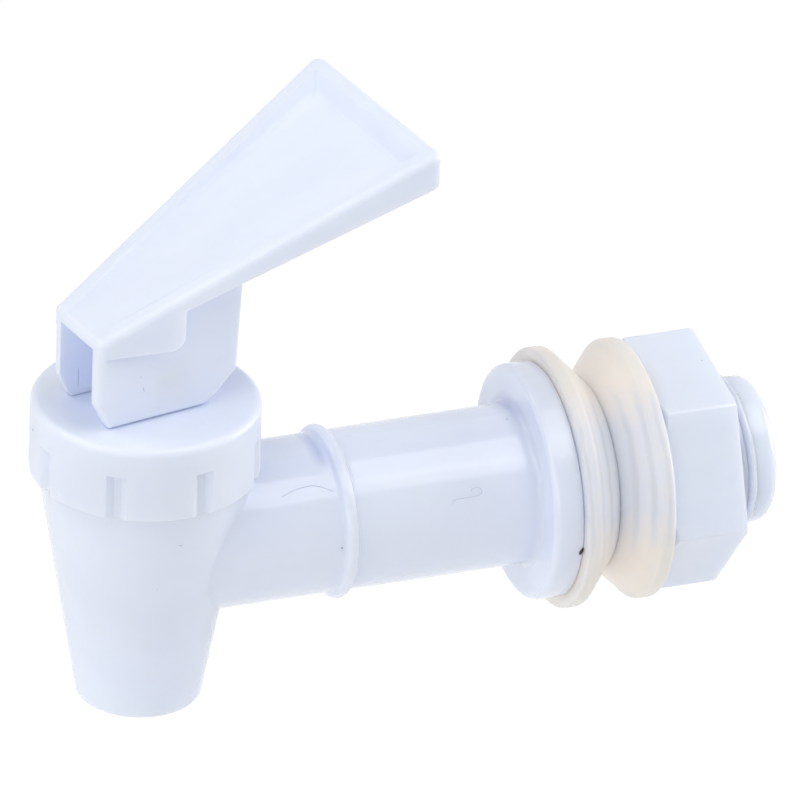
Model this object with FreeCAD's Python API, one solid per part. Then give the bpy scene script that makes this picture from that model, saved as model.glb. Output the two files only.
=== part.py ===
import FreeCAD, Part
import math
import os

from FreeCAD import Vector

# Push-lever water dispenser spigot.
# Millimetres, +Z up. The origin is the centre of the flange's wall side. The pipe and the
# threaded shank lie along X, with the shank pointing to +X, into the water vessel.

# Overall layout
reach = 55.6              # wall side of the flange to the spout's axis
lever_yaw = 11.0          # the lever is swivelled this far from the pipe, degrees
fit_gap = 0.15            # clearance of the moving plastic fits
thread_gap = 0.10         # clearance of the screwed fits

# Spout and valve chamber, heights measured from the pipe's axis
spout_tip_z = -22.5
spout_tip_r = 8.2
spout_tip_round = 0.8
shoulder_z = 10.9         # where the bonnet cap lands
shoulder_r = 13.9
neck_r = 12.6
neck_h = 6.0
chamber_r = 10.2
chamber_taper_z = 6.0     # the chamber narrows below this height
chamber_floor_z = -9.0
chamber_floor_r = 8.2
seat_h = 1.0
seat_bore_r = 3.6
seat_lip_w = 1.4
throat_l = 1.5
outlet_r = 6.2
outlet_flare_l = 3.0

# Pipe, bead, flange and shank
pipe_r_spout = 10.5
pipe_r_flange = 10.66
bead_x = -30.4
bead_r = 0.95             # half-round section of the bead
bead_proud = 0.95
flange_t = 4.0
flange_r = 15.65
flange_round = 0.9
flange_back_round = 0.35   # edge against the wall washer
flange_fillet = 0.8
shank_l = 29.6
shank_r = 9.7             # root of the thread, and the plain pilot behind it
thread_crest_r = 10.4
shank_end_round = 1.6
inlet_bore_r = 7.0        # from the shank's end to the flange's wall side
pipe_bore_r = 6.5
joint_fillet = 0.4        # where the bead and the spout meet the pipe

# Bonnet cap
cap_r = 15.0
cap_h = 10.4
cap_roof_t = 2.2
cap_edge_round = 1.0
cap_rim_round = 0.3
groove_count = 8
groove_angle = -123.3     # direction of the first grip groove, degrees
groove_h = 6.3
groove_depth = 0.8
groove_floor_w = 1.0
groove_mouth_w = 2.9

# Stem
stem_r = 2.75
stem_head_u = 6.4         # head size along the lever
stem_head_rise = 1.3      # head's underside above the cap
pivot_h = 5.0             # trunnion axis above the cap
trunnion_r = 1.5
trunnion_l = 0.9
collar_r = 5.5
collar_t = 1.2
collar_z = 2.0
stem_foot_r = 3.6
barb_r = 3.0
barb_h = 2.2
barb_neck_r = 2.2
barb_neck_h = 1.4

# Spring
spring_mean_r = 4.5
spring_wire_r = 0.4
spring_turns = 6.0

# Silicone valve plug
plug_wall = 1.15
plug_rim_t = 2.2
plug_rim_gap = 0.2        # rim edge to the inside of the cap
plug_waist_z = 3.0
plug_waist_r = 7.6
plug_hip_z = -4.5
plug_hip_r = 5.2
plug_nose_r = 4.9

# Washers and nut
outer_washer_r = 17.3
inner_washer_r = 17.25
washer_rim_t = 1.85
washer_round = 0.7
washer_face_round = 0.35   # edge against the flange or the nut
washer_t = 6.1
washer_small_r = 12.6
washer_bore_gap = 0.6     # washer bore to the thread's crest
inner_washer_y = -0.12    # the loose inner washer hangs on the thread
inner_washer_z = -0.17
nut_flats = 29.4
nut_t = 10.35
nut_turn = -21.5          # a corner's direction from +Z towards -Y, degrees
nut_front_chamfer = 1.6
nut_back_chamfer = 0.3
nut_corner_round = 0.4

# Lever, measured along itself (u), across (v) and from the cap upwards
ear_gap = 8.2             # clear width between the ears
ear_t = 1.95
ear_front_u = -10.6
ear_cap_gap = 0.12
ear_front_chamfer_u = 1.7
ear_front_chamfer_h = 3.5
ear_foot_u = 5.9          # where the flat foot would meet the sloped heel
ear_heel_round = 3.0
ear_edge_round = 0.7      # outer edge of an ear's foot
ear_back_u = 10.05
ear_back_lean = 0.85
blade_front_z = 12.95     # top of the blade at its front edge
blade_pitch = 26.15
blade_end_u = 34.35
blade_end_half_w = 15.8
blade_corner_r = 1.4
blade_front_corner_r = 1.1
blade_rim_round = 1.1
cheek_z = 10.7            # lower edge of the cheeks beside the ears
cheek_back_u = 0.65
cheek_corner_r = 2.0
skirt_front_z = 16.35     # lower edge of the skirt where it leaves the cheek
skirt_pitch = 21.9
skirt_t = 1.4
dish_front_u = -10.6      # where the dish's floor comes out of the blade's top
dish_end_u = 31.05
dish_depth = 2.1          # floor below the rim at the far end
dish_rim_w = 2.3
dish_rim_end_w = 2.4
dish_side_run = 1.5       # how far the dish's side slopes in at the far end
dish_fillet = 1.2
floor_t = 1.45
socket_depth = 1.0

# Derived places
cap_bottom_z = shoulder_z
cap_top_z = cap_bottom_z + cap_h
cap_ceiling_z = cap_top_z - cap_roof_t
cap_bore_r = neck_r + thread_gap
neck_top_z = shoulder_z + neck_h
seat_z = chamber_floor_z + seat_h
pivot_z = cap_top_z + pivot_h
stem_hole_r = stem_r + fit_gap
ear_half_gap = ear_gap / 2
ear_half_w = ear_half_gap + ear_t
ear_foot_z = cap_top_z + ear_cap_gap
floor_slope = math.tan(math.radians(blade_pitch)) - dish_depth / (dish_end_u - dish_front_u)
nut_bore_r = shank_r + thread_gap


def rounded_face(corners):
    """Face in the XZ plane from (x, z) or (x, z, radius) corners, given in order."""
    count = len(corners)
    points = [Vector(c[0], 0, c[1]) for c in corners]
    radii = [c[2] if len(c) > 2 else 0 for c in corners]
    starts = []
    ends = []
    arcs = []
    for i, corner in enumerate(points):
        to_last = (points[i - 1] - corner).normalize()
        to_next = (points[(i + 1) % count] - corner).normalize()
        if radii[i] == 0:
            starts.append(corner)
            ends.append(corner)
            arcs.append(None)
            continue
        half = to_last.getAngle(to_next) / 2
        trim = radii[i] / math.tan(half)
        middle = (to_last + to_next).normalize()
        centre = corner + middle * (radii[i] / math.sin(half))
        starts.append(corner + to_last * trim)
        ends.append(corner + to_next * trim)
        arcs.append(centre - middle * radii[i])
    edges = []
    for i in range(count):
        if arcs[i] is not None:
            edges.append(Part.Arc(starts[i], arcs[i], ends[i]).toShape())
        following = starts[(i + 1) % count]
        if (following - ends[i]).Length > 1e-6:
            edges.append(Part.LineSegment(ends[i], following).toShape())
    return Part.Face(Part.Wire(edges))


def turned_about_z(corners):
    """Solid of revolution about Z from (radius, z) corners."""
    return rounded_face(corners).revolve(Vector(0, 0, 0), Vector(0, 0, 1), 360)


def turned_about_x(corners):
    """Solid of revolution about X from (x, radius) corners."""
    return rounded_face(corners).revolve(Vector(0, 0, 0), Vector(1, 0, 0), 360)


def plate_across(corners, v_from, v_to):
    """Side profile in (u, z), made solid from v_from to v_to."""
    face = rounded_face(corners)
    face.translate(Vector(0, v_from, 0))
    return face.extrude(Vector(0, v_to - v_from, 0))


def plan_prism(corners, z_from, z_to):
    """Plan outline in (u, v), made solid from z_from to z_to."""
    face = rounded_face(corners)
    face.rotate(Vector(0, 0, 0), Vector(1, 0, 0), -90)
    face.translate(Vector(0, 0, z_from))
    return face.extrude(Vector(0, 0, z_to - z_from))


def at_spout(shape):
    """Moves a shape built about its own Z axis to the spout's axis."""
    shape.translate(Vector(-reach, 0, 0))
    return shape


def swivelled(shape):
    """Turns the lever's or stem's shape to the lever's direction, at the spout."""
    shape.rotate(Vector(0, 0, 0), Vector(0, 0, 1), lever_yaw)
    return at_spout(shape)


def pipe_radius(x):
    """Outer radius of the slightly tapered pipe at x."""
    return pipe_r_flange + (pipe_r_spout - pipe_r_flange) * x / (-reach)


def filleted_at_pipe(body):
    """Rounds the inner corners where the bead and the spout meet the pipe."""
    corners = []
    for edge in body.Edges:
        middle = edge.valueAt((edge.FirstParameter + edge.LastParameter) / 2)
        on_pipe = abs(math.hypot(middle.y, middle.z) - pipe_radius(middle.x)) < 0.01
        at_bead = abs(middle.x - bead_x) < 2 * bead_r
        at_spout_side = -reach < middle.x < -reach + shoulder_r
        if on_pipe and (at_bead or at_spout_side):
            corners.append(edge)
    return body.makeFillet(joint_fillet, corners)


def make_spigot_body():
    spout = turned_about_z([
        (0, spout_tip_z),
        (spout_tip_r, spout_tip_z, spout_tip_round),
        (shoulder_r, shoulder_z, 0.2),
        (neck_r, shoulder_z),
        (neck_r, neck_top_z, 0.3),
        (0, neck_top_z),
    ])
    at_spout(spout)
    pipe = turned_about_x([
        (-reach, 0),
        (-reach, pipe_r_spout),
        (-flange_t, pipe_r_flange, flange_fillet),
        (-flange_t, flange_r, flange_round),
        (0, flange_r, flange_back_round),
        (0, shank_r),
        (shank_l, shank_r, shank_end_round),
        (shank_l, 0),
    ])
    bead = Part.makeTorus(pipe_radius(bead_x) + bead_proud - bead_r, bead_r,
                          Vector(bead_x, 0, 0), Vector(1, 0, 0))
    outside = filleted_at_pipe(spout.fuse([pipe, bead]).removeSplitter())

    seat_r = seat_bore_r + seat_lip_w
    throat_z = seat_z - throat_l - seat_h
    chamber = turned_about_z([
        (0, neck_top_z + 1),
        (chamber_r, neck_top_z + 1),
        (chamber_r, chamber_taper_z),
        (chamber_floor_r, chamber_floor_z, 0.8),
        (seat_r, chamber_floor_z),
        (seat_r, seat_z, 0.3),
        (seat_bore_r, seat_z, 0.3),
        (seat_bore_r, throat_z),
        (outlet_r, throat_z - outlet_flare_l),
        (outlet_r, spout_tip_z - 1),
        (0, spout_tip_z - 1),
    ])
    at_spout(chamber)
    along = Vector(1, 0, 0)
    pipe_bore = Part.makeCylinder(pipe_bore_r, reach + 1, Vector(-reach, 0, 0), along)
    inlet_bore = Part.makeCylinder(inlet_bore_r, shank_l + 1, Vector(0, 0, 0), along)
    return outside.cut([chamber, pipe_bore, inlet_bore])


def make_bonnet_cap():
    cap = turned_about_z([
        (stem_hole_r, cap_top_z, 0.3),
        (cap_r, cap_top_z, cap_edge_round),
        (cap_r, cap_bottom_z, cap_rim_round),
        (cap_bore_r, cap_bottom_z),
        (cap_bore_r, cap_ceiling_z),
        (stem_hole_r, cap_ceiling_z),
    ])
    floor_x = cap_r - groove_depth
    mouth_x = cap_r + groove_depth
    mouth_w = groove_floor_w + 2 * (groove_mouth_w - groove_floor_w)
    groove = plan_prism([
        (floor_x, -groove_floor_w / 2),
        (mouth_x, -mouth_w / 2),
        (mouth_x, mouth_w / 2),
        (floor_x, groove_floor_w / 2),
    ], cap_bottom_z - 1, cap_bottom_z + groove_h)
    grooves = []
    for i in range(groove_count):
        one = groove.copy()
        one.rotate(Vector(0, 0, 0), Vector(0, 0, 1), groove_angle + i * 360 / groove_count)
        grooves.append(one)
    return at_spout(cap.cut(grooves))


def make_valve_stem():
    barb_bottom_z = plug_socket_bottom_z() + fit_gap
    barb_top_z = barb_bottom_z + barb_h
    foot_z = barb_top_z + barb_neck_h
    head_bottom_z = cap_top_z + stem_head_rise
    shaft = turned_about_z([
        (0, barb_bottom_z),
        (barb_r, barb_bottom_z, 0.5),
        (barb_r, barb_top_z, 0.3),
        (barb_neck_r, barb_top_z),
        (barb_neck_r, foot_z),
        (stem_foot_r, foot_z, 0.3),
        (stem_foot_r, collar_z),
        (collar_r, collar_z, 0.3),
        (collar_r, collar_z + collar_t, 0.3),
        (stem_r, collar_z + collar_t),
        (stem_r, head_bottom_z + 1),
        (0, head_bottom_z + 1),
    ])
    head_half_u = stem_head_u / 2
    head_half_v = ear_half_gap - fit_gap
    head = plate_across([
        (-head_half_u, head_bottom_z, 0.5),
        (head_half_u, head_bottom_z, 0.5),
        (head_half_u, pivot_z + head_half_u, head_half_u - 0.2),
        (-head_half_u, pivot_z + head_half_u, head_half_u - 0.2),
    ], -head_half_v, head_half_v)
    trunnion_half_l = head_half_v + trunnion_l
    trunnions = Part.makeCylinder(trunnion_r, 2 * trunnion_half_l,
                                  Vector(0, -trunnion_half_l, pivot_z), Vector(0, 1, 0))
    return swivelled(shaft.fuse([head, trunnions]).removeSplitter())


def make_stem_spring():
    """Spring wire from the stem's collar up to the ceiling of the cap."""
    start_z = collar_z + collar_t + spring_wire_r
    height = cap_ceiling_z - spring_wire_r - start_z
    helix = Part.makeHelix(height / spring_turns, height, spring_mean_r)
    section = Part.Wire(Part.makeCircle(spring_wire_r, Vector(spring_mean_r, 0, 0),
                                        Vector(0, 1, 0)))
    coil = Part.Wire(helix.Edges).makePipeShell([section], True, True)
    coil.translate(Vector(0, 0, start_z))
    return at_spout(coil)


def plug_socket_bottom_z():
    """Floor of the hole in the plug's nose that takes the stem's barb."""
    return seat_z + 1.7


def make_valve_plug():
    rim_r = cap_bore_r - plug_rim_gap
    rim_bottom_z = cap_ceiling_z - plug_rim_t
    neck_inside_r = chamber_r - 0.3
    socket_z = plug_socket_bottom_z()
    socket_r = barb_r + 0.1
    socket_top_z = socket_z + barb_h + fit_gap
    mouth_z = socket_top_z + barb_neck_h
    return at_spout(turned_about_z([
        (0, seat_z),
        (plug_nose_r, seat_z, 0.3),
        (plug_hip_r, plug_hip_z, 1.0),
        (plug_waist_r, plug_waist_z, 2.0),
        (neck_inside_r, rim_bottom_z),
        (rim_r, rim_bottom_z, 0.4),
        (rim_r, cap_ceiling_z, 0.4),
        (neck_inside_r - plug_wall, cap_ceiling_z, 0.4),
        (plug_waist_r - plug_wall, plug_waist_z, 2.0),
        (stem_foot_r + 0.3, mouth_z, 0.3),
        (barb_neck_r + 0.1, mouth_z, 0.3),
        (barb_neck_r + 0.1, socket_top_z),
        (socket_r, socket_top_z),
        (socket_r, socket_z),
        (0, socket_z),
    ]))


def make_washer(x_wide, x_small, wide_r):
    """Tapered silicone washer with its wide face at x_wide and its small one at x_small."""
    way = 1 if x_small > x_wide else -1
    bore = thread_crest_r + washer_bore_gap
    return turned_about_x([
        (x_wide, bore, 0.3),
        (x_wide, wide_r, washer_face_round),
        (x_wide + way * washer_rim_t, wide_r, washer_round),
        (x_small, washer_small_r, 0.5),
        (x_small, bore, 0.3),
    ])


def make_inner_washer():
    washer = make_washer(2 * washer_t, washer_t, inner_washer_r)
    washer.translate(Vector(0, inner_washer_y, inner_washer_z))
    return washer


def make_lock_nut():
    front_x = 2 * washer_t
    back_x = front_x + nut_t
    corner_r = nut_flats / 2 / math.cos(math.radians(30))
    hexagon = Part.makePolygon([
        Vector(front_x,
               -corner_r * math.sin(math.radians(nut_turn + 60 * i)),
               corner_r * math.cos(math.radians(nut_turn + 60 * i)))
        for i in range(7)
    ])
    prism = Part.Face(hexagon).extrude(Vector(nut_t, 0, 0))
    corners = [edge for edge in prism.Edges if abs(edge.Length - nut_t) < 0.01
               and abs(edge.Vertexes[0].X - edge.Vertexes[1].X) > 1]
    prism = prism.makeFillet(nut_corner_round, corners)
    slope = math.tan(math.radians(60))
    turned = turned_about_x([
        (front_x, 0),
        (front_x, corner_r - nut_front_chamfer),
        (front_x + nut_front_chamfer / slope, corner_r),
        (back_x - nut_back_chamfer / slope, corner_r),
        (back_x, corner_r - nut_back_chamfer),
        (back_x, 0),
    ])
    bore = turned_about_x([
        (front_x - 1, 0),
        (front_x - 1, thread_crest_r + 1),
        (front_x + thread_crest_r - nut_bore_r, nut_bore_r),
        (back_x - thread_crest_r + nut_bore_r, nut_bore_r),
        (back_x + 1, thread_crest_r + 1),
        (back_x + 1, 0),
    ])
    return prism.common(turned).cut(bore)


def blade_top_z(u):
    """Height of the lever's rim at u."""
    return cap_top_z + blade_front_z + (u - ear_front_u) * math.tan(math.radians(blade_pitch))


def dish_floor_z(u):
    """Height of the dish's floor at u."""
    return blade_top_z(dish_front_u) + (u - dish_front_u) * floor_slope


def underside_z(u):
    """Height of the underside of the lever's plate at u."""
    return dish_floor_z(u) - floor_t


def blade_half_w(u):
    """Half width of the lever's blade at u."""
    share = (u - ear_front_u) / (blade_end_u - ear_front_u)
    return ear_half_w + share * (blade_end_half_w - ear_half_w)


def make_blade():
    plan = plan_prism([
        (ear_front_u, -ear_half_w, blade_front_corner_r),
        (blade_end_u, -blade_end_half_w, blade_corner_r),
        (blade_end_u, blade_end_half_w, blade_corner_r),
        (ear_front_u, ear_half_w, blade_front_corner_r),
    ], cap_top_z, blade_top_z(blade_end_u) + 1)
    cheek_bottom_z = cap_top_z + cheek_z
    skirt_z = cap_top_z + skirt_front_z
    skirt_end_z = skirt_z + (blade_end_u - cheek_back_u) * math.tan(math.radians(skirt_pitch))
    side = plate_across([
        (ear_front_u, cheek_bottom_z),
        (cheek_back_u, cheek_bottom_z, cheek_corner_r),
        (cheek_back_u, skirt_z, 0.5),
        (blade_end_u, skirt_end_z),
        (blade_end_u, blade_top_z(blade_end_u)),
        (ear_front_u, blade_top_z(ear_front_u)),
    ], -blade_end_half_w - 1, blade_end_half_w + 1)
    blade = plan.common(side)
    rim = []
    for edge in blade.Edges:
        middle = edge.valueAt((edge.FirstParameter + edge.LastParameter) / 2)
        ends = [v.Point for v in edge.Vertexes]
        if all(abs(p.z - blade_top_z(p.x)) < 0.01 for p in ends + [middle]):
            rim.append(edge)
    return blade.makeFillet(blade_rim_round, rim)


def make_dish():
    """The shallow tray that is sunk into the top of the blade."""
    over = 4
    before = 3
    end_z = dish_floor_z(dish_end_u)
    wall_run = blade_end_u - dish_rim_end_w - dish_end_u
    wall_rise = blade_top_z(dish_end_u + wall_run) - end_z
    side_slope = dish_side_run / dish_depth

    def section(u):
        floor_z = dish_floor_z(u)
        rim_z = blade_top_z(u)
        rim_half = blade_half_w(u) - dish_rim_w
        floor_half = rim_half - side_slope * (rim_z - floor_z)
        mouth_half = rim_half + side_slope * over
        return Part.makePolygon([
            Vector(u, -floor_half, floor_z),
            Vector(u, floor_half, floor_z),
            Vector(u, mouth_half, rim_z + over),
            Vector(u, -mouth_half, rim_z + over),
            Vector(u, -floor_half, floor_z),
        ])

    trough = Part.makeLoft([section(dish_front_u - before), section(dish_end_u + 2 * wall_run)],
                           True, True)
    half = blade_end_half_w + over
    wall_cut = plate_across([
        (dish_front_u - before - 1, end_z - 15),
        (dish_end_u - 15 * wall_run / wall_rise, end_z - 15),
        (dish_end_u + 3 * wall_run, end_z + 3 * wall_rise),
        (dish_front_u - before - 1, end_z + 3 * wall_rise),
    ], -half, half)
    tray = trough.common(wall_cut)
    sides = []
    foot = []
    for edge in tray.Edges:
        ends = [v.Point for v in edge.Vertexes]
        if not all(abs(p.z - dish_floor_z(p.x)) < 0.01 for p in ends):
            continue
        if all(abs(p.x - dish_end_u) < 0.01 for p in ends):
            foot.append(edge)
        elif abs(ends[0].x - ends[1].x) > 1:
            sides.append(edge)
    return tray.makeFillet(dish_fillet, sides + foot)


def make_ear(side):
    """One of the two ears that straddle the stem, on the side v = +1 or -1."""
    heel_rise = ear_back_u - ear_foot_u
    top_u = ear_back_u + ear_back_lean
    ear = plate_across([
        (ear_front_u, underside_z(ear_front_u) + floor_t / 2),
        (ear_front_u, ear_foot_z + ear_front_chamfer_h, 1.0),
        (ear_front_u + ear_front_chamfer_u, ear_foot_z, 0.6),
        (ear_foot_u, ear_foot_z, ear_heel_round),
        (ear_back_u, ear_foot_z + heel_rise, 1.5),
        (top_u, underside_z(top_u) + floor_t / 2),
    ], ear_half_gap, ear_half_w)
    rounding = plan_prism([
        (ear_front_u, -ear_half_w, blade_front_corner_r),
        (top_u + 1, -ear_half_w),
        (top_u + 1, ear_half_w),
        (ear_front_u, ear_half_w, blade_front_corner_r),
    ], cap_top_z, blade_top_z(top_u))
    ear = ear.common(rounding)
    foot_edges = []
    for edge in ear.Edges:
        middle = edge.valueAt((edge.FirstParameter + edge.LastParameter) / 2)
        if abs(middle.y - ear_half_w) < 0.01 and middle.z < ear_foot_z + ear_front_chamfer_h / 2:
            foot_edges.append(edge)
    ear = ear.makeFillet(ear_edge_round, foot_edges)
    if side < 0:
        ear = ear.mirror(Vector(0, 0, 0), Vector(0, 1, 0))
    return ear


def make_lever_handle():
    blade = make_blade()
    channel = plate_across([
        (ear_front_u - 1, cap_top_z),
        (cheek_back_u + skirt_t, cap_top_z),
        (cheek_back_u + skirt_t, underside_z(cheek_back_u + skirt_t)),
        (ear_front_u - 1, underside_z(ear_front_u - 1)),
    ], -ear_half_gap, ear_half_gap)
    recess_u = cheek_back_u + skirt_t
    recess_end_u = blade_end_u - skirt_t
    recess_plan = plan_prism([
        (recess_u, skirt_t - blade_half_w(recess_u), 0.4),
        (recess_end_u, skirt_t - blade_half_w(recess_end_u), 1.0),
        (recess_end_u, blade_half_w(recess_end_u) - skirt_t, 1.0),
        (recess_u, blade_half_w(recess_u) - skirt_t, 0.4),
    ], cap_top_z, blade_top_z(blade_end_u))
    recess_side = plate_across([
        (recess_u - 1, cap_top_z),
        (recess_end_u + 1, cap_top_z),
        (recess_end_u + 1, underside_z(recess_end_u + 1)),
        (recess_u - 1, underside_z(recess_u - 1)),
    ], -blade_end_half_w, blade_end_half_w)
    recess = recess_plan.common(recess_side)
    handle = blade.cut([channel, recess, make_dish()])
    handle = handle.fuse([make_ear(1), make_ear(-1)]).removeSplitter()
    sockets = Part.makeCylinder(trunnion_r + thread_gap, 2 * (ear_half_gap + socket_depth),
                                Vector(0, -ear_half_gap - socket_depth, pivot_z),
                                Vector(0, 1, 0))
    return swivelled(handle.cut(sockets))


nodes = {
    "spigot_body": make_spigot_body(),
    "bonnet_cap": make_bonnet_cap(),
    "valve_stem": make_valve_stem(),
    "stem_spring": make_stem_spring(),
    "valve_plug": make_valve_plug(),
    "lever_handle": make_lever_handle(),
    "outer_washer": make_washer(0, washer_t, outer_washer_r),
    "inner_washer": make_inner_washer(),
    "lock_nut": make_lock_nut(),
}

os.makedirs("parts", exist_ok=True)
for name, shape in nodes.items():
    solid = shape.Solids[0] if len(shape.Solids) == 1 else shape
    solid.exportStep(f"parts/{name}.step")
    box = solid.BoundBox
    print(f"{name}: solids {len(shape.Solids)}, valid {shape.isValid()}, "
          f"volume {shape.Volume:.1f}, X {box.XMin:.2f} to {box.XMax:.2f}, "
          f"Y {box.YMin:.2f} to {box.YMax:.2f}, Z {box.ZMin:.2f} to {box.ZMax:.2f}")
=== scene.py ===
import math

import bmesh
import bpy
from mathutils import Matrix, Vector


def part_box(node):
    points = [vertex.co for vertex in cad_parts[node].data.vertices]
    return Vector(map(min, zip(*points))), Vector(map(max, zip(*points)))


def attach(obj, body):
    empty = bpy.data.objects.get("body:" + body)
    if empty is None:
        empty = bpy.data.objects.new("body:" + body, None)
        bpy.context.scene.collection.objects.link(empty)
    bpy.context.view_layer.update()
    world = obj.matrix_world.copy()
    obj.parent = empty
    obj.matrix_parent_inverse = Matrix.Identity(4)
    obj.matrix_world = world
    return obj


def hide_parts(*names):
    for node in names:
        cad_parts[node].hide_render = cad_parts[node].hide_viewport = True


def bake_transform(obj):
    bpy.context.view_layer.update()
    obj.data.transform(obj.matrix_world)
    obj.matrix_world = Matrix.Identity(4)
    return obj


# Push-lever water dispenser spigot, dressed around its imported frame. Metres, +Z up.

MM = 0.001

# Camera, fitted to the photograph. Its roll is an angle, and its sensor and lens are in mm.
CAMERA_AT = Vector((-0.56934, -1.43256, 0.87304))
CAMERA_TARGET = Vector((-0.020505, 0.0, 0.014997))
CAMERA_ROLL = math.radians(2.193)
CAMERA_SENSOR = 36.0
CAMERA_LENS = 607.6
CAMERA_SEES_FROM = 0.05
CAMERA_SEES_TO = 30.0

# Thread on the shank, and the one inside the nut
THREAD_PITCH = 1.814 * MM
THREAD_ROOT_R = 9.70 * MM
THREAD_CREST_R = 10.40 * MM
THREAD_START_X = 0.6 * MM
THREAD_END_X = 27.2 * MM
THREAD_FULL_TO_X = 26.0 * MM
THREAD_ROOT_HALF_W = 0.72 * MM
THREAD_CREST_HALF_W = 0.14 * MM
THREAD_CLEARANCE = 0.06 * MM
THREAD_EDGE_ROUND = 0.08 * MM
THREAD_STEPS = 72  # a turn
THREAD_RISES_OVER = 0.4  # of a turn, at its start
THREAD_LEAST_HEIGHT = 0.02  # of its full height, so that no ring of it is flat

# Low end of the lever's dish, in the lever's own frame: u along it, from the spout's axis
LEVER_AXIS = Vector((-55.6 * MM, 0, 0))
LEVER_SWIVEL = math.radians(11)
DISH_FRONT_U = -10.6 * MM
DISH_FRONT_Z = 34.25 * MM
DISH_FRONT_HALF_W = 3.75 * MM
DISH_CUT_FROM_U = -12.0 * MM
DISH_CUT_TO_U = -2.99 * MM
DISH_FLOOR_RISE = 0.4405  # for each step along u
DISH_WIDENING = 0.1809  # of its half width, for each step along u
DISH_WALL_LEAN = math.radians(52.1)
DISH_FILLET_R = 1.2 * MM
DISH_FILLET_STRETCH = 1.09  # in height, because the floor climbs
DISH_FILLET_STEPS = 10
SHARP_FROM = math.radians(25)

# Clamped rim of the plug, which stays with the cap, and its nose, which goes with the stem
PLUG_RIM_T = 2.2 * MM
PLUG_NOSE_T = 3.5 * MM

# Fibres on the pipe: x in mm, and degrees from straight up towards the front
FIBRE_LIES_AT = 10.625 * MM
FIBRE_R = 0.03 * MM
FIBRE_BY_FLANGE = ((-16.4, 67.5), (-16.3, 64.5), (-15.0, 64.5), (-12.5, 64.3), (-12.1, 61.0),
                   (-12.5, 58.3), (-13.3, 57.6), (-13.7, 60.5))
FIBRE_BY_BEAD = ((-39.2, 44.5), (-37.8, 41.0), (-35.0, 39.0), (-33.6, 41.5), (-32.2, 46.0))

# Specks of dirt and small scuffs: the body they ride, middle and size in mm, degrees of lean
MARKS = {
    "grit_on_flange": ("spigot", (-0.32, -15.50, -2.50), (0.42, 0.40, 1.15), 25),
    "grit_by_bead": ("spigot", (-31.82, -10.56, 0.45), (0.15, 0.12, 0.25), 0),
    "scuff_on_cone": ("spigot", (-55.10, -13.02, 6.00), (0.90, 0.10, 0.14), 20),
    "scuff_on_cap": ("spigot", (-70.56, 1.19, 17.88), (0.10, 0.50, 0.35), 0),
    "scuff_on_ear": ("lever", (-58.85, -6.77, 28.00), (0.12, 0.05, 0.60), 15),
    "scuff_on_ear_low": ("lever", (-58.40, -6.73, 26.20), (0.10, 0.05, 0.80), -12),
    "scratch_in_fork": ("lever", (-64.04, 2.54, 24.00), (0.15, 0.06, 2.90), 0),
}

# Painted shade in the corners on the pipe, left of the bead and of the flange, where the colour
# is darkened: x, half width, the angle towards the front that the shade is centred on, and how
# far out it starts and is full
SHADED_OUT_TO_R = 11.2 * MM
SHADE_GONE_AT_R = 12.2 * MM
PAINTED_CORNER_SHADES = ((-32.5 * MM, 1.4 * MM, math.radians(5), 8.7 * MM, 10.0 * MM),
                  (-4.5 * MM, 1.0 * MM, math.radians(35), 6.5 * MM, 10.5 * MM))

# Silicone: the washers are pale in a band that leans, and turn cream away from its middle.
# Their rims thin out away from the pipe's axis.
SILICONE_TILT = math.radians(28)
WASHER_CREAM = (5.0 * MM, 11.5 * MM)
WASHER_RIM_R = (15.5 * MM, 17.0 * MM)
WASHER_RIM_OPACITY = 0.93
PLUG_CREAM = (0.0, 20 * MM)
PLUG_RIM_R = (50 * MM, 60 * MM)  # out of the plug's reach, so all of it is opaque

# Light inside the materials: index, share that is scattered, how far by colour, and depth
PLASTIC_IOR = 1.58
PLASTIC_SCATTER = 0.5
PLASTIC_SCATTER_BY_COLOUR = (1.0, 1.0, 1.15)
PLASTIC_SCATTER_DEPTH = 0.0022
SILICONE_IOR = 1.42
SILICONE_SCATTER = 0.7
SILICONE_SCATTER_BY_COLOUR = (1.0, 0.85, 0.7)
SILICONE_SCATTER_DEPTH = 0.004

# Colours, and shares of them
WHITE = (0.79, 0.84, 0.98)
# share of the colour kept in the painted shade of the corners
CORNER_SHADE_TINT = (0.72, 0.74, 0.85)
FLOW_TINTS = (0.975, 1.02)
SPECK_TINT = 0.7
WASHER_PALE_COLOUR = (0.82, 0.84, 0.89)
WASHER_CREAM_COLOUR = (0.97, 0.87, 0.79)
PLUG_PALE_COLOUR = (0.90, 0.88, 0.85)
PLUG_CREAM_COLOUR = (0.88, 0.85, 0.80)
STREAK_TINT = 0.88
STEEL_COLOURS = ((0.50, 0.50, 0.52), (0.68, 0.68, 0.70))
FAINT_GREYS = ((0.46, 0.50, 0.64), (0.57, 0.61, 0.74))
GRIT_COLOURS = ((0.01, 0.01, 0.02), (0.04, 0.04, 0.05))
FLOOR_COLOUR = (0.97, 0.97, 0.98)
SURROUND_COLOUR = (0.95, 0.96, 1.0)
PURE_WHITE = (1.0, 1.0, 1.0)

# Floor, surroundings and light
FLOOR_Z = -0.12
FLOOR_HALF_SIZE = 6.0
FLOOR_GLOW = 1.05
FLOOR_GLOW_SHARE = 0.9  # of what is seen; the rest keeps the object's shadow
SURROUND_STRENGTH = 0.33
BACKDROP_STRENGTH = 1.0
LIGHT_BOUNCES = 8  # white walls keep narrow gaps bright
LIGHTS_AIM = Vector((-0.02, 0.0, 0.01))
LIGHTS_OFF = 1.0
OVERHEAD_FROM = 60  # degrees of elevation past which a softbox lies along the pipe

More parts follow.
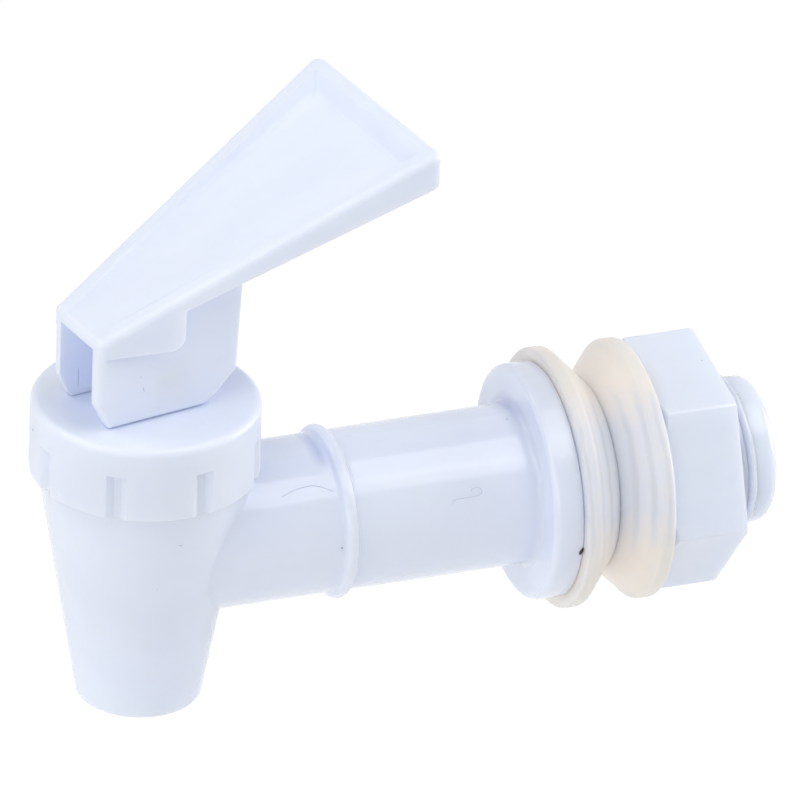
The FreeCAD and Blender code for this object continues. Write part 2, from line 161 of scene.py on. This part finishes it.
# Softboxes: azimuth and elevation in degrees, width, height and power. Azimuth 0 is in front
# of the object and 90 at its right.
SOFTBOXES = {
    "key": (48, 65, 0.6, 0.9, 2.72),
    "high_right": (60, 50, 0.5, 0.5, 0.8),
    "high_left": (300, 50, 0.5, 0.5, 1.5),
    "side_right": (90, 12, 0.5, 0.5, 3.9),
    "side_left": (282, 12, 0.5, 0.5, 1.3),
    "front_left": (325, 10, 0.5, 0.4, 1.2),
    "back_left": (240, 45, 0.4, 0.4, 2.1),
}


def emptied_tree(owner):
    """Node tree of a material or world, with nothing in it."""
    owner.use_nodes = True
    owner.node_tree.nodes.clear()
    return owner.node_tree


def shaded_tree(material):
    """Node tree with one Principled shader, and that shader."""
    tree = emptied_tree(material)
    output = tree.nodes.new("ShaderNodeOutputMaterial")
    shader = tree.nodes.new("ShaderNodeBsdfPrincipled")
    tree.links.new(shader.outputs["BSDF"], output.inputs["Surface"])
    return tree, shader


def noise(tree, vector, scale, detail=3.0, roughness=0.5):
    node = tree.nodes.new("ShaderNodeTexNoise")
    node.inputs["Scale"].default_value = scale
    node.inputs["Detail"].default_value = detail
    node.inputs["Roughness"].default_value = roughness
    tree.links.new(vector, node.inputs["Vector"])
    return node.outputs["Fac"]


def mapped(tree, vector, scale, tilt=0.0):
    """The vector turned about X by tilt, with each axis scaled after that."""
    if tilt:
        turned = tree.nodes.new("ShaderNodeMapping")
        turned.inputs["Rotation"].default_value = (tilt, 0, 0)
        tree.links.new(vector, turned.inputs["Vector"])
        vector = turned.outputs["Vector"]
    node = tree.nodes.new("ShaderNodeMapping")
    node.inputs["Scale"].default_value = scale
    tree.links.new(vector, node.inputs["Vector"])
    return node.outputs["Vector"]


def to_range(tree, value, from_low, from_high, to_low, to_high):
    node = tree.nodes.new("ShaderNodeMapRange")
    node.inputs["From Min"].default_value = from_low
    node.inputs["From Max"].default_value = from_high
    node.inputs["To Min"].default_value = to_low
    node.inputs["To Max"].default_value = to_high
    tree.links.new(value, node.inputs["Value"])
    return node.outputs["Result"]


def mixed_colour(tree, factor, first, second):
    """First and second are colours, or the output of another colour node."""
    node = tree.nodes.new("ShaderNodeMix")
    node.data_type = "RGBA"
    tree.links.new(factor, node.inputs["Factor"])
    for value, socket in ((first, node.inputs["A"]), (second, node.inputs["B"])):
        if isinstance(value, bpy.types.NodeSocket):
            tree.links.new(value, socket)
        else:
            socket.default_value = (*value, 1.0)
    return node.outputs["Result"]


def math_node(tree, operation, first, second):
    node = tree.nodes.new("ShaderNodeMath")
    node.operation = operation
    for value, socket in ((first, node.inputs[0]), (second, node.inputs[1])):
        if isinstance(value, bpy.types.NodeSocket):
            tree.links.new(value, socket)
        else:
            socket.default_value = value
    return node.outputs[0]


def length_of(tree, vector):
    node = tree.nodes.new("ShaderNodeVectorMath")
    node.operation = "LENGTH"
    tree.links.new(vector, node.inputs[0])
    return node.outputs["Value"]


def along(tree, vector, axis):
    """One of the vector's three parts: X, Y or Z."""
    node = tree.nodes.new("ShaderNodeSeparateXYZ")
    tree.links.new(vector, node.inputs["Vector"])
    return node.outputs[axis]


def clamped(tree, value):
    """The value kept between 0 and 1."""
    node = tree.nodes.new("ShaderNodeClamp")
    tree.links.new(value, node.inputs["Value"])
    return node.outputs["Result"]


def bumped(tree, shader, height, distance, strength=1.0, after=None):
    """Bump on the shader, on top of an earlier one where that is given."""
    node = tree.nodes.new("ShaderNodeBump")
    node.inputs["Distance"].default_value = distance
    node.inputs["Strength"].default_value = strength
    tree.links.new(height, node.inputs["Height"])
    if after is not None:
        tree.links.new(after, node.inputs["Normal"])
    tree.links.new(node.outputs["Normal"], shader.inputs["Normal"])
    return node.outputs["Normal"]


def scattered_specks(tree, vector, cells, size, share):
    """1 inside small round specks, which only the given share of cells holds."""
    cell = tree.nodes.new("ShaderNodeTexVoronoi")
    cell.inputs["Scale"].default_value = cells
    tree.links.new(vector, cell.inputs["Vector"])
    near = math_node(tree, "LESS_THAN", cell.outputs["Distance"], size)
    split = tree.nodes.new("ShaderNodeSeparateColor")
    tree.links.new(cell.outputs["Color"], split.inputs["Color"])
    chosen = math_node(tree, "LESS_THAN", split.outputs["Red"], share)
    return math_node(tree, "MULTIPLY", near, chosen)


def from_axis(tree, place):
    """Distance from the X axis."""
    return length_of(tree, mapped(tree, place, (0, 1, 1)))


def tinted(colour, share):
    return tuple(min(1.0, c * share) for c in colour)


def painted_corner_shade(tree, place, corner):
    """Mask of the painted shade: 1 in the middle of a corner at the foot of a rim, and 0 away
    from it.
    """
    corner_x, half_width, towards_front, start, full = corner
    turned_place = mapped(tree, place, (1, 1, 1), tilt=towards_front)
    past = math_node(tree, "SUBTRACT", along(tree, turned_place, "X"), corner_x)
    near = to_range(tree, math_node(tree, "ABSOLUTE", past, 0.0), 0.0, half_width, 1.0, 0.0)
    turned = to_range(tree, along(tree, turned_place, "Z"), start, full, 0.0, 1.0)
    low = to_range(tree, from_axis(tree, place), SHADED_OUT_TO_R, SHADE_GONE_AT_R, 1.0, 0.0)
    return math_node(tree, "MULTIPLY", math_node(tree, "MULTIPLY", near, turned), low)


def moulded_plastic(name, colour, roughness, waviness=1.0, grain=1.0, painted_corner_shades=()):
    """White injection-moulded plastic: faint flow marks, fine grain, hairlines and specks, and
    painted shade darkening the given corners.
    """
    material = bpy.data.materials.new(name)
    tree, shader = shaded_tree(material)
    place = tree.nodes.new("ShaderNodeTexCoord").outputs["Object"]
    flow = noise(tree, mapped(tree, place, (30, 90, 55)), scale=1.0, detail=4.0)
    duller, paler = [tinted(colour, share) for share in FLOW_TINTS]
    tone = mixed_colour(tree, to_range(tree, flow, 0.35, 0.65, 0, 1), duller, paler)
    specks = scattered_specks(tree, place, cells=330, size=0.045, share=0.05)
    tone = mixed_colour(tree, specks, tone, tinted(colour, SPECK_TINT))
    # colour of the painted shade in the corners
    shade = tuple(c * share for c, share in zip(colour, CORNER_SHADE_TINT))
    for corner in painted_corner_shades:
        tone = mixed_colour(tree, painted_corner_shade(tree, place, corner), tone, shade)
    tree.links.new(tone, shader.inputs["Base Color"])
    hairs = noise(tree, mapped(tree, place, (60, 900, 900)), scale=1.0, detail=2.0, roughness=0.7)
    hair_lines = to_range(tree, hairs, 0.66, 0.72, 0.0, 0.03)
    cloud = noise(tree, place, scale=160)
    rough = to_range(tree, cloud, 0.3, 0.7, roughness - 0.04, roughness + 0.05)
    tree.links.new(math_node(tree, "ADD", rough, hair_lines), shader.inputs["Roughness"])
    wave = noise(tree, place, scale=110, detail=1.0)
    slow = bumped(tree, shader, wave, distance=0.00022 * waviness, strength=0.5)
    fine = noise(tree, place, scale=3200, detail=2.0)
    bumped(tree, shader, fine, distance=0.000012 * grain, strength=0.6, after=slow)
    shader.inputs["IOR"].default_value = PLASTIC_IOR
    shader.inputs["Subsurface Weight"].default_value = PLASTIC_SCATTER
    shader.inputs["Subsurface Radius"].default_value = PLASTIC_SCATTER_BY_COLOUR
    shader.inputs["Subsurface Scale"].default_value = PLASTIC_SCATTER_DEPTH
    return material


def milky_silicone(name, pale, cream, cream_between, rim_between, rim_opacity):
    """Milky silicone, pale at its sides and cream at its top and bottom. Its thin rim lets
    light through, and turning marks and the thread behind it show as faint rings."""
    material = bpy.data.materials.new(name)
    tree, shader = shaded_tree(material)
    place = tree.nodes.new("ShaderNodeTexCoord").outputs["Object"]
    cloud = to_range(tree, noise(tree, place, scale=260), 0.3, 0.7, -0.15, 0.15)
    off_middle = length_of(tree, mapped(tree, place, (0, 0, 1), tilt=SILICONE_TILT))
    creamy = to_range(tree, off_middle, *cream_between, 0, 1)
    creamy = clamped(tree, math_node(tree, "ADD", creamy, cloud))
    tone = mixed_colour(tree, creamy, pale, cream)
    turns = math_node(tree, "MULTIPLY", along(tree, place, "X"), 2 * math.pi / THREAD_PITCH)
    wobble = to_range(tree, noise(tree, place, scale=150), 0.3, 0.7, -0.9, 0.9)
    bands = math_node(tree, "SINE", math_node(tree, "ADD", turns, wobble), 0.0)
    behind = math_node(tree, "MULTIPLY", to_range(tree, bands, 0.0, 1.0, 0, 0.8),
                       math_node(tree, "SUBTRACT", 1.0, creamy))
    tone = mixed_colour(tree, clamped(tree, behind), tone, tinted(pale, STREAK_TINT))
    tree.links.new(tone, shader.inputs["Base Color"])
    opacity = to_range(tree, from_axis(tree, place), *rim_between, 1.0, rim_opacity)
    tree.links.new(opacity, shader.inputs["Alpha"])
    rough = to_range(tree, noise(tree, place, scale=500), 0.3, 0.7, 0.28, 0.42)
    tree.links.new(rough, shader.inputs["Roughness"])
    rings = noise(tree, mapped(tree, place, (900, 60, 60)), scale=1.0, detail=2.0)
    slow = bumped(tree, shader, rings, distance=0.00012, strength=0.4)
    fine = noise(tree, place, scale=900)
    bumped(tree, shader, fine, distance=0.000008, strength=0.4, after=slow)
    shader.inputs["IOR"].default_value = SILICONE_IOR
    shader.inputs["Subsurface Weight"].default_value = SILICONE_SCATTER
    shader.inputs["Subsurface Radius"].default_value = SILICONE_SCATTER_BY_COLOUR
    shader.inputs["Subsurface Scale"].default_value = SILICONE_SCATTER_DEPTH
    return material


def spring_wire(name):
    """Drawn steel wire."""
    material = bpy.data.materials.new(name)
    tree, shader = shaded_tree(material)
    place = tree.nodes.new("ShaderNodeTexCoord").outputs["Object"]
    drawn = noise(tree, mapped(tree, place, (1500, 1500, 200)), scale=1.0)
    tone = mixed_colour(tree, drawn, *STEEL_COLOURS)
    tree.links.new(tone, shader.inputs["Base Color"])
    tree.links.new(to_range(tree, drawn, 0.3, 0.7, 0.22, 0.4), shader.inputs["Roughness"])
    bumped(tree, shader, drawn, distance=0.00001)
    shader.inputs["Metallic"].default_value = 1.0
    return material


def plain_finish(name, dark, light, roughness):
    """Mottled finish for the small marks."""
    material = bpy.data.materials.new(name)
    tree, shader = shaded_tree(material)
    place = tree.nodes.new("ShaderNodeTexCoord").outputs["Object"]
    mottle = noise(tree, place, scale=4000)
    tree.links.new(mixed_colour(tree, mottle, dark, light), shader.inputs["Base Color"])
    shader.inputs["Roughness"].default_value = roughness
    return material


def mesh_object(name, bm, smooth=True):
    """A new object in the scene, made from bm, which is used up."""
    mesh = bpy.data.meshes.new(name)
    bmesh.ops.recalc_face_normals(bm, faces=bm.faces)
    bm.to_mesh(mesh)
    bm.free()
    if smooth:
        mesh.shade_smooth()
    piece = bpy.data.objects.new(name, mesh)
    bpy.context.scene.collection.objects.link(piece)
    return piece


def copy_of(node, name):
    """A piece of its own with the shape of a CAD node."""
    piece = bpy.data.objects.new(name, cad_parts[node].data.copy())
    bpy.context.scene.collection.objects.link(piece)
    return piece


def helical_ridge(name, start_x, end_x, root_r, crest_r, root_half_w, crest_half_w,
                  rises_over=0, full_to_x=None):
    """Right-hand thread ridge about the X axis, closed. It rises out of the root over the
    given turns, and past full_to_x its crest runs down a cone to the root."""
    turns = (end_x - start_x) / THREAD_PITCH
    count = int(turns * THREAD_STEPS)
    bm = bmesh.new()
    rings = []
    for i in range(count + 1):
        turn = i / THREAD_STEPS
        angle = 2 * math.pi * (start_x / THREAD_PITCH + turn)
        x = start_x + turn * THREAD_PITCH
        height = min(1.0, turn / rises_over) if rises_over else 1.0
        if full_to_x is not None:
            height = min(height, (end_x - x) / (end_x - full_to_x))
        crest = root_r + max(THREAD_LEAST_HEIGHT, height) * (crest_r - root_r)
        ring = []
        for aside, radius in ((-root_half_w, root_r), (-crest_half_w, crest),
                              (crest_half_w, crest), (root_half_w, root_r)):
            ring.append(bm.verts.new((x + aside, -radius * math.sin(angle),
                                      radius * math.cos(angle))))
        rings.append(ring)
    for near, far in zip(rings, rings[1:]):
        for k in range(4):
            bm.faces.new((near[k], near[(k + 1) % 4], far[(k + 1) % 4], far[k]))
    bm.faces.new(rings[0])
    bm.faces.new(rings[-1])
    return mesh_object(name, bm, smooth=False)


def make_shank_thread():
    """The fine thread that the CAD shank leaves to the scene."""
    ridge = helical_ridge("shank_thread", THREAD_START_X, THREAD_END_X,
                          THREAD_ROOT_R - THREAD_CLEARANCE, THREAD_CREST_R,
                          THREAD_ROOT_HALF_W, THREAD_CREST_HALF_W,
                          rises_over=THREAD_RISES_OVER, full_to_x=THREAD_FULL_TO_X)
    soften = ridge.modifiers.new("round", "BEVEL")
    soften.width = THREAD_EDGE_ROUND
    soften.segments = 2
    soften.limit_method = "ANGLE"
    ridge.data.materials.append(glossy_white)
    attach(ridge, "spigot")


def cut_out_of(piece, cutter):
    """Take the cutter's form out of the piece, and remove the cutter."""
    cut = piece.modifiers.new("cut", "BOOLEAN")
    cut.operation = "DIFFERENCE"
    cut.solver = "EXACT"
    cut.object = cutter
    with bpy.context.temp_override(object=piece, active_object=piece):
        bpy.ops.object.modifier_apply(modifier=cut.name)
    bpy.data.objects.remove(cutter)


def make_threaded_nut():
    """The CAD nut, with the thread that its plain bore stands in for cut into it."""
    low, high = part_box("lock_nut")
    nut = copy_of("lock_nut", "threaded_nut")
    start_turns = math.floor((low[0] - 2 * THREAD_PITCH) / THREAD_PITCH)
    start_x = THREAD_START_X + start_turns * THREAD_PITCH
    tap = helical_ridge("nut_tap", start_x, high[0] + 2 * THREAD_PITCH,
                        THREAD_ROOT_R, THREAD_CREST_R + THREAD_CLEARANCE,
                        THREAD_ROOT_HALF_W + THREAD_CLEARANCE,
                        THREAD_CREST_HALF_W + THREAD_CLEARANCE)
    cut_out_of(nut, tap)
    nut.data.materials.clear()
    nut.data.materials.append(satin_white)
    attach(nut, "nut")
    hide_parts("lock_nut")


def around_pipe(mark, radius):
    """Place on a cylinder about the X axis."""
    x, degrees = mark
    angle = math.radians(degrees)
    return Vector((x * MM, -radius * math.sin(angle), radius * math.cos(angle)))


def make_fibre(name, marks):
    """Fine hairline lying on the pipe."""
    curve = bpy.data.curves.new(name, "CURVE")
    curve.dimensions = "3D"
    curve.bevel_depth = FIBRE_R
    curve.bevel_resolution = 2
    spline = curve.splines.new("NURBS")
    spline.points.add(len(marks) - 1)
    for point, mark in zip(spline.points, marks):
        point.co = (*around_pipe(mark, FIBRE_LIES_AT), 1.0)
    spline.use_endpoint_u = True
    spline.order_u = 3
    drawn = bpy.data.objects.new(name, curve)
    fibre = bpy.data.objects.new(name, bpy.data.meshes.new_from_object(drawn))
    bpy.data.objects.remove(drawn)
    bpy.context.scene.collection.objects.link(fibre)
    fibre.data.materials.clear()
    fibre.data.materials.append(faint_grey)
    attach(fibre, "spigot")


def make_marks():
    """The small marks of wear and dirt that the photograph shows."""
    make_fibre("fibre_by_flange", FIBRE_BY_FLANGE)
    make_fibre("fibre_by_bead", FIBRE_BY_BEAD)
    for name, (body, middle, size, lean) in MARKS.items():
        bm = bmesh.new()
        bmesh.ops.create_icosphere(bm, subdivisions=3, radius=0.5)
        bmesh.ops.scale(bm, vec=Vector(size) * MM, verts=bm.verts)
        bmesh.ops.rotate(bm, matrix=Matrix.Rotation(math.radians(lean), 3, "Y"), verts=bm.verts)
        bmesh.ops.translate(bm, vec=Vector(middle) * MM, verts=bm.verts)
        mark = mesh_object(name, bm)
        mark.data.materials.append(dark_grit if name.startswith("grit") else faint_grey)
        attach(mark, body)


def dish_section(u):
    """Outline of the dish across the lever at u, closed well above its rim."""
    floor_z = DISH_FRONT_Z + (u - DISH_FRONT_U) * DISH_FLOOR_RISE
    foot_half_w = DISH_FRONT_HALF_W + (u - DISH_FRONT_U) * DISH_WIDENING
    arc_from = foot_half_w - DISH_FILLET_R * math.tan(DISH_WALL_LEAN / 2)
    side = []
    for i in range(DISH_FILLET_STEPS + 1):
        angle = DISH_WALL_LEAN * i / DISH_FILLET_STEPS
        rise = DISH_FILLET_STRETCH * DISH_FILLET_R * (1 - math.cos(angle))
        side.append((arc_from + DISH_FILLET_R * math.sin(angle), floor_z + rise))
    above = DISH_FILLET_R
    side.append((side[-1][0] + above / math.tan(DISH_WALL_LEAN), side[-1][1] + above))
    return [(u, -v, z) for v, z in reversed(side)] + [(u, v, z) for v, z in side]


def make_dished_lever():
    """The CAD lever, with its dish run out to the front edge as in the photo."""
    lever = copy_of("lever_handle", "dished_lever")
    bm = bmesh.new()
    near, far = [[bm.verts.new(corner) for corner in dish_section(u)]
                 for u in (DISH_CUT_FROM_U, DISH_CUT_TO_U)]
    for k in range(len(near)):
        n = (k + 1) % len(near)
        bm.faces.new((near[k], near[n], far[n], far[k]))
    bm.faces.new(near)
    bm.faces.new(far)
    bm.transform(Matrix.Translation(LEVER_AXIS) @ Matrix.Rotation(LEVER_SWIVEL, 4, "Z"))
    cut_out_of(lever, mesh_object("dish_cut", bm, smooth=False))
    with bpy.context.temp_override(object=lever, active_object=lever):
        bpy.ops.mesh.customdata_custom_splitnormals_clear()
    lever.data.shade_smooth()
    lever.data.set_sharp_from_angle(angle=SHARP_FROM)
    even = lever.modifiers.new("even_faces", "WEIGHTED_NORMAL")
    even.keep_sharp = True
    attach(lever, "lever")
    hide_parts("lever_handle")


def make_seal():
    """Plug and spring, which the cap holds and the stem moves: copies of their CAD nodes with
    their own materials, standing in place of the nodes.
    """
    for node, material, slot, rim, nose in (
            ("valve_plug", plug_silicone, "plug_silicone", PLUG_RIM_T, PLUG_NOSE_T),
            ("stem_spring", wire, "spring_steel", 0, 0)):
        piece = copy_of(node, node + "_flexing")
        piece.data.materials.clear()
        piece.data.materials.append(material)
        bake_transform(piece)
        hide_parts(node)


def dress_frame():
    """Materials for the CAD nodes that stay as they are, and for the lever before its copy."""
    for node, material in (("spigot_body", glossy_white), ("bonnet_cap", satin_white),
                           ("lever_handle", satin_white), ("valve_stem", satin_white),
                           ("outer_washer", washer_silicone), ("inner_washer", washer_silicone)):
        for material_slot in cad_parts[node].material_slots:
            material_slot.material = material


def seen_directly(tree, rays):
    """1 for rays from the camera and for those that gloss or glass passes on."""
    passed_on = math_node(tree, "MAXIMUM", rays.outputs["Is Glossy Ray"],
                          rays.outputs["Is Transmission Ray"])
    return math_node(tree, "MAXIMUM", rays.outputs["Is Camera Ray"], passed_on)


def make_floor():
    """Pale floor that looks white, and that the object's shadow still shows on."""
    bm = bmesh.new()
    half = FLOOR_HALF_SIZE
    corners = [bm.verts.new((x, y, FLOOR_Z)) for x, y in
               ((-half, -half), (half, -half), (half, half), (-half, half))]
    bm.faces.new(corners)
    floor = mesh_object("floor", bm, smooth=False)
    material = bpy.data.materials.new("pale_floor")
    tree = emptied_tree(material)
    output = tree.nodes.new("ShaderNodeOutputMaterial")
    diffuse = tree.nodes.new("ShaderNodeBsdfDiffuse")
    diffuse.inputs["Color"].default_value = (*FLOOR_COLOUR, 1.0)
    glow = tree.nodes.new("ShaderNodeEmission")
    glow.inputs["Color"].default_value = (*PURE_WHITE, 1.0)
    glow.inputs["Strength"].default_value = FLOOR_GLOW
    rays = tree.nodes.new("ShaderNodeLightPath")
    seen = math_node(tree, "MULTIPLY", seen_directly(tree, rays), FLOOR_GLOW_SHARE)
    blend = tree.nodes.new("ShaderNodeMixShader")
    tree.links.new(seen, blend.inputs["Fac"])
    tree.links.new(diffuse.outputs["BSDF"], blend.inputs[1])
    tree.links.new(glow.outputs["Emission"], blend.inputs[2])
    tree.links.new(blend.outputs["Shader"], output.inputs["Surface"])
    floor.data.materials.append(material)


def make_world():
    """White backdrop to the camera, and softer light on the object."""
    world = bpy.data.worlds.new("studio")
    bpy.context.scene.world = world
    tree = emptied_tree(world)
    output = tree.nodes.new("ShaderNodeOutputWorld")
    around = tree.nodes.new("ShaderNodeBackground")
    around.inputs["Color"].default_value = (*SURROUND_COLOUR, 1.0)
    around.inputs["Strength"].default_value = SURROUND_STRENGTH
    white = tree.nodes.new("ShaderNodeBackground")
    white.inputs["Color"].default_value = (*PURE_WHITE, 1.0)
    white.inputs["Strength"].default_value = BACKDROP_STRENGTH
    rays = tree.nodes.new("ShaderNodeLightPath")
    blend = tree.nodes.new("ShaderNodeMixShader")
    tree.links.new(seen_directly(tree, rays), blend.inputs["Fac"])
    tree.links.new(around.outputs["Background"], blend.inputs[1])
    tree.links.new(white.outputs["Background"], blend.inputs[2])
    tree.links.new(blend.outputs["Shader"], output.inputs["Surface"])


def make_softbox(name, azimuth, elevation, width, height, power):
    """Softbox that faces the object. Its width lies along the pipe where it is overhead, and
    level elsewhere."""
    turn = math.radians(azimuth)
    lift = math.radians(elevation)
    away = Vector((math.sin(turn) * math.cos(lift), -math.cos(turn) * math.cos(lift),
                   math.sin(lift)))
    level = Vector((1, 0, 0)) if elevation > OVERHEAD_FROM else Vector((0, 0, 1)).cross(away)
    across = (level - level.dot(away) * away).normalized()
    light = bpy.data.lights.new(name, "AREA")
    light.shape = "RECTANGLE"
    light.size = width
    light.size_y = height
    light.energy = power
    lamp = bpy.data.objects.new(name, light)
    turned = Matrix((across, away.cross(across), away)).transposed()
    lamp.matrix_world = Matrix.Translation(LIGHTS_AIM + LIGHTS_OFF * away) @ turned.to_4x4()
    bpy.context.scene.collection.objects.link(lamp)


def make_lights():
    for name, setting in SOFTBOXES.items():
        make_softbox(name, *setting)


def make_camera():
    back = (CAMERA_AT - CAMERA_TARGET).normalized()
    level = Vector((0, 0, 1)).cross(back).normalized()
    rise = back.cross(level)
    right = math.cos(CAMERA_ROLL) * level + math.sin(CAMERA_ROLL) * rise
    up = back.cross(right)
    data = bpy.data.cameras.new("camera")
    data.sensor_fit = "HORIZONTAL"
    data.sensor_width = CAMERA_SENSOR
    data.lens = CAMERA_LENS
    data.clip_start = CAMERA_SEES_FROM
    data.clip_end = CAMERA_SEES_TO
    camera = bpy.data.objects.new("camera", data)
    turned = Matrix((right, up, back)).transposed()
    camera.matrix_world = Matrix.Translation(CAMERA_AT) @ turned.to_4x4()
    bpy.context.scene.collection.objects.link(camera)
    bpy.context.scene.camera = camera


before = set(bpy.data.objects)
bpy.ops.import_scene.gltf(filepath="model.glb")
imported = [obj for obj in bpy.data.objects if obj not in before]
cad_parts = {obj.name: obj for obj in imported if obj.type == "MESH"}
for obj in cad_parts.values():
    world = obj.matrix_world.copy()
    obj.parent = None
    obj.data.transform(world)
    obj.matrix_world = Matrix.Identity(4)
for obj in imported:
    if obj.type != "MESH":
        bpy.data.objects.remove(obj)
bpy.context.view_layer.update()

bpy.context.scene.view_settings.view_transform = "Standard"
bpy.context.scene.cycles.max_bounces = LIGHT_BOUNCES
bpy.context.scene.cycles.diffuse_bounces = LIGHT_BOUNCES

glossy_white = moulded_plastic("glossy_white_plastic", WHITE, 0.10, waviness=0.5,
                               painted_corner_shades=PAINTED_CORNER_SHADES)
satin_white = moulded_plastic("satin_white_plastic", WHITE, 0.36, grain=1.6)
washer_silicone = milky_silicone("milky_silicone", WASHER_PALE_COLOUR, WASHER_CREAM_COLOUR,
                                 WASHER_CREAM, WASHER_RIM_R, WASHER_RIM_OPACITY)
plug_silicone = milky_silicone("plug_silicone", PLUG_PALE_COLOUR, PLUG_CREAM_COLOUR,
                               PLUG_CREAM, PLUG_RIM_R, rim_opacity=1.0)
wire = spring_wire("spring_wire")
faint_grey = plain_finish("faint_grey", *FAINT_GREYS, roughness=0.5)
dark_grit = plain_finish("dark_grit", *GRIT_COLOURS, roughness=0.6)

dress_frame()
make_shank_thread()
make_threaded_nut()
make_dished_lever()
make_seal()
make_marks()

make_world()
make_floor()
make_lights()
make_camera()
